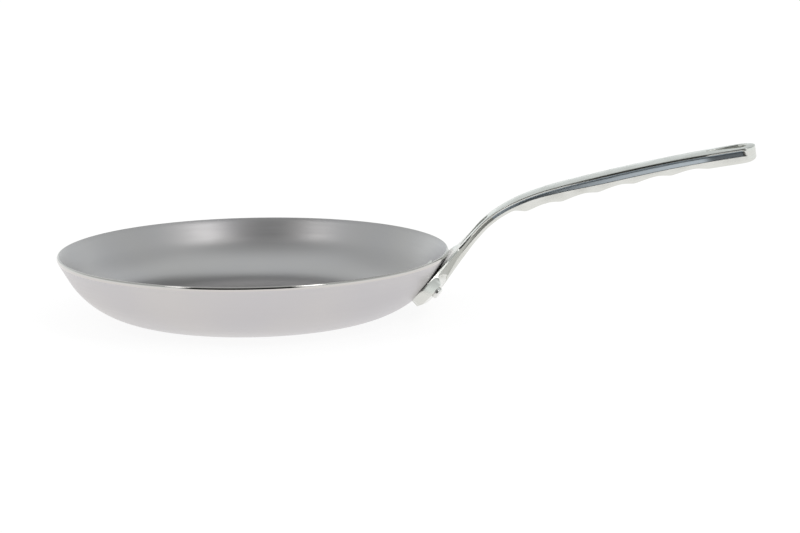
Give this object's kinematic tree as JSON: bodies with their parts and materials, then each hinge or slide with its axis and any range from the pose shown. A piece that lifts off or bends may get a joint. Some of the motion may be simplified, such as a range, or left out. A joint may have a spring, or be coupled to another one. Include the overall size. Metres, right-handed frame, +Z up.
{
  "type": "omelette pan",
  "caption": "Shallow round steel pan with a flat base and flared side, and a riveted cast metal handle with side grooves, finger scallops, a neck slot and a hanging slot.",
  "frame": {"origin": "centre of the flat base's underside, on the axis of the bowl", "axes": "+X from the bowl along the handle, +Z up through the open mouth, +Y to the left of the handle seen from the bowl"},
  "size_m": [0.4943, 0.2796, 0.1201],
  "materials": {
    "bowl_steel": "satin, brushed round the bowl",
    "handle_cast": "polished casting",
    "rivet_steel": "polished"
  },
  "bodies": {
    "root": {"pan_body": "bowl_steel", "handle": "handle_cast", "rivet_left": "rivet_steel", "rivet_right": "rivet_steel"}
  },
  "joints": []
}
